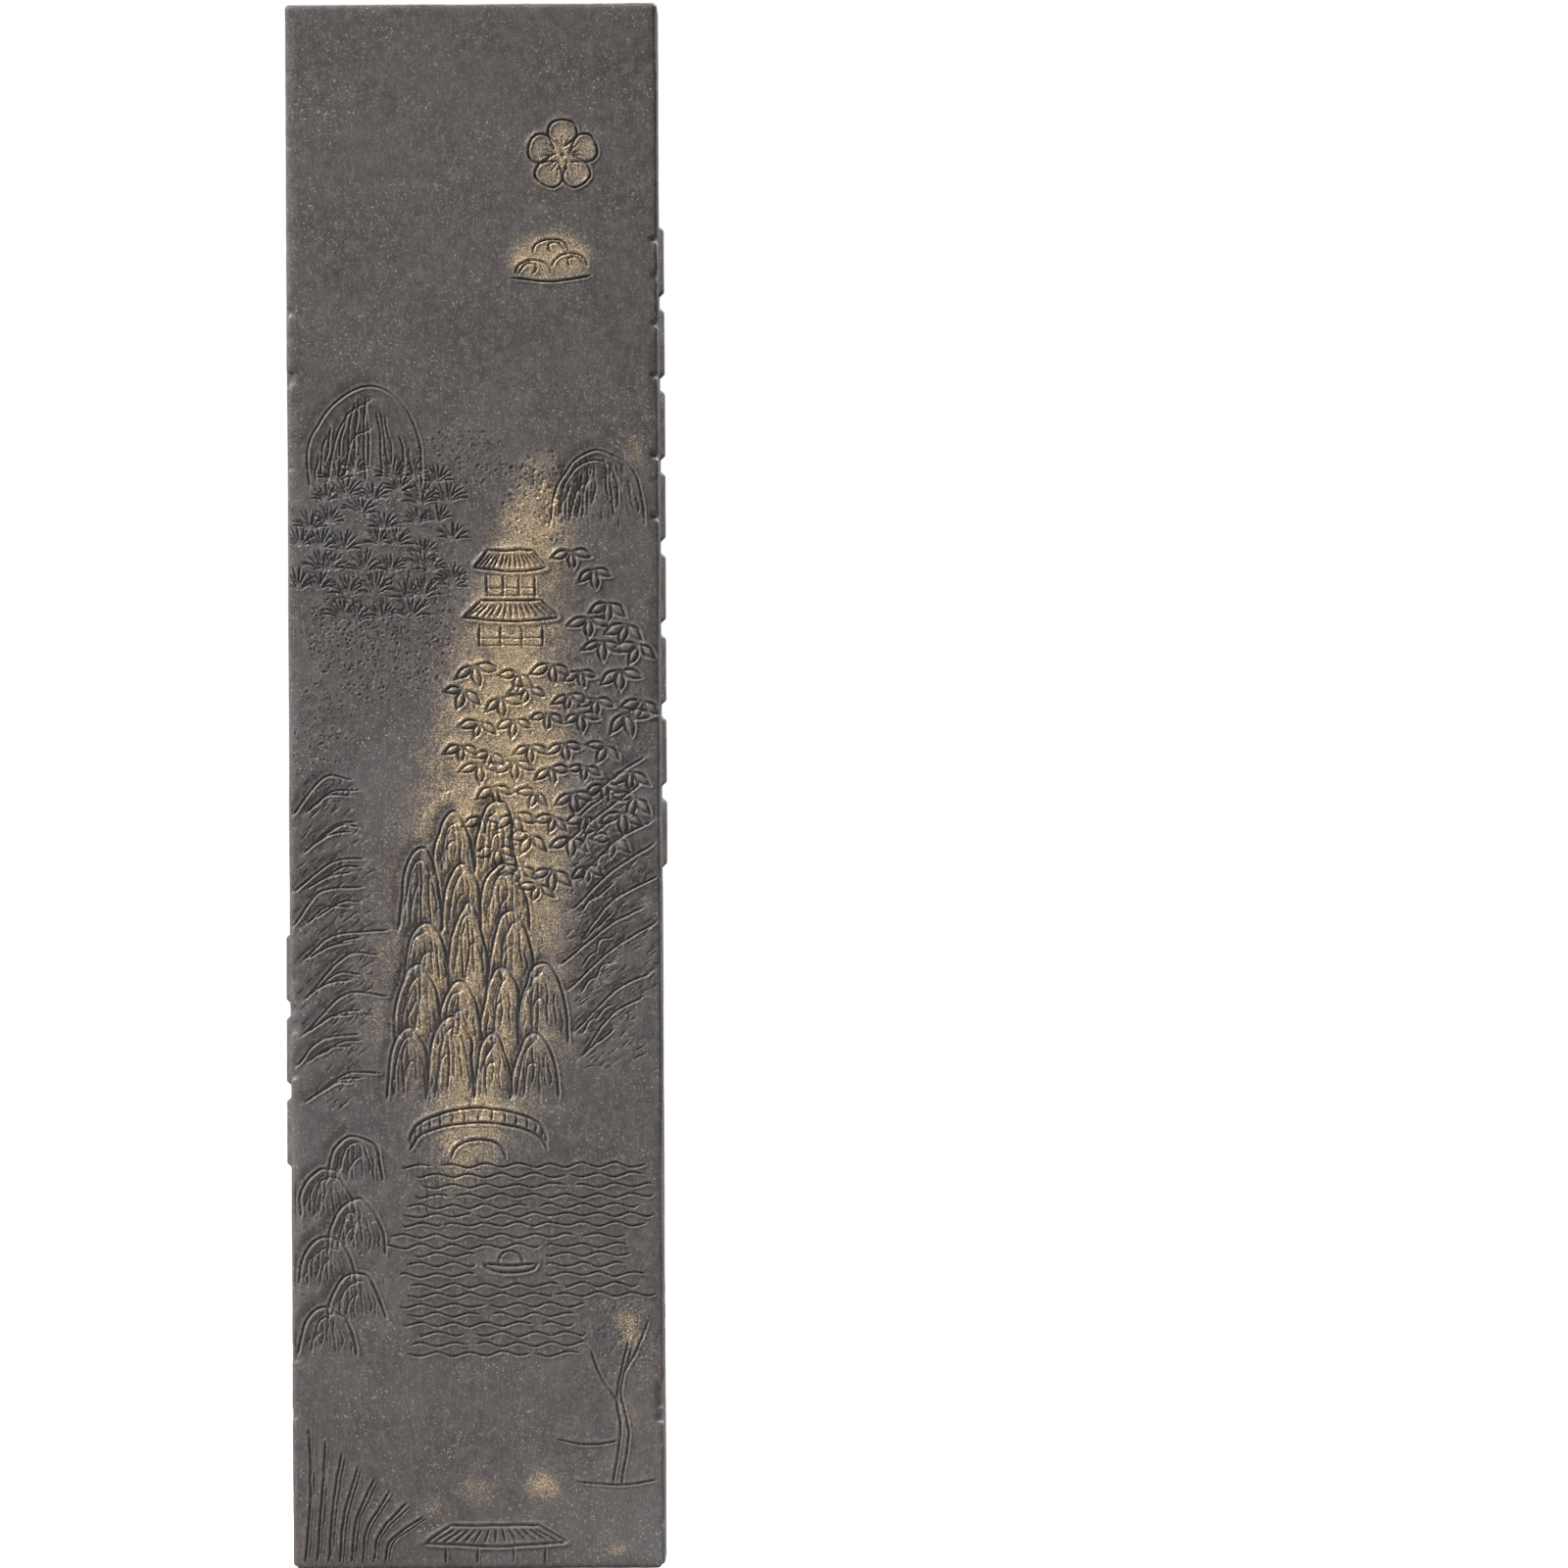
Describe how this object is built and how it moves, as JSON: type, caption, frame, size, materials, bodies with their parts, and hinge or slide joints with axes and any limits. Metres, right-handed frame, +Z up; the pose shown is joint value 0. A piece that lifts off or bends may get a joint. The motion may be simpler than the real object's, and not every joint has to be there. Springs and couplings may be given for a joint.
{
  "type": "ink stick",
  "caption": "Flat upright ink stick with a carved landscape touched with gold powder on one face and a carved orchid on the other.",
  "frame": {"origin": "middle of the lower end, on which the stick stands", "axes": "+Z up along the stick, -Y out of the landscape face, +Y out of the orchid face, +X to the right of someone facing the landscape"},
  "size_m": [0.0366, 0.0126, 0.1502],
  "materials": {
    "ink": "dry pressed soot ink, satin, worn lighter along the edges",
    "gilt": "thin worn gold powder with the ink showing through"
  },
  "bodies": {
    "root": {"ink_body": "ink", "gilt_title_blossom": "gilt", "gilt_title_cloud": "gilt", "gilt_peak": "gilt", "gilt_grove": "gilt", "gilt_pavilion": "gilt", "gilt_bamboo_path": "gilt", "gilt_cliff_crest": "gilt", "gilt_cliff_spur": "gilt", "gilt_cliff_face": "gilt", "gilt_bridge_head": "gilt", "gilt_tree": "gilt", "gilt_tree_root": "gilt", "gilt_gate_left": "gilt", "gilt_gate_middle": "gilt", "gilt_gate_right": "gilt", "gilt_shore": "gilt", "gilt_leaf_left": "gilt", "gilt_leaf_right": "gilt"}
  },
  "joints": []
}
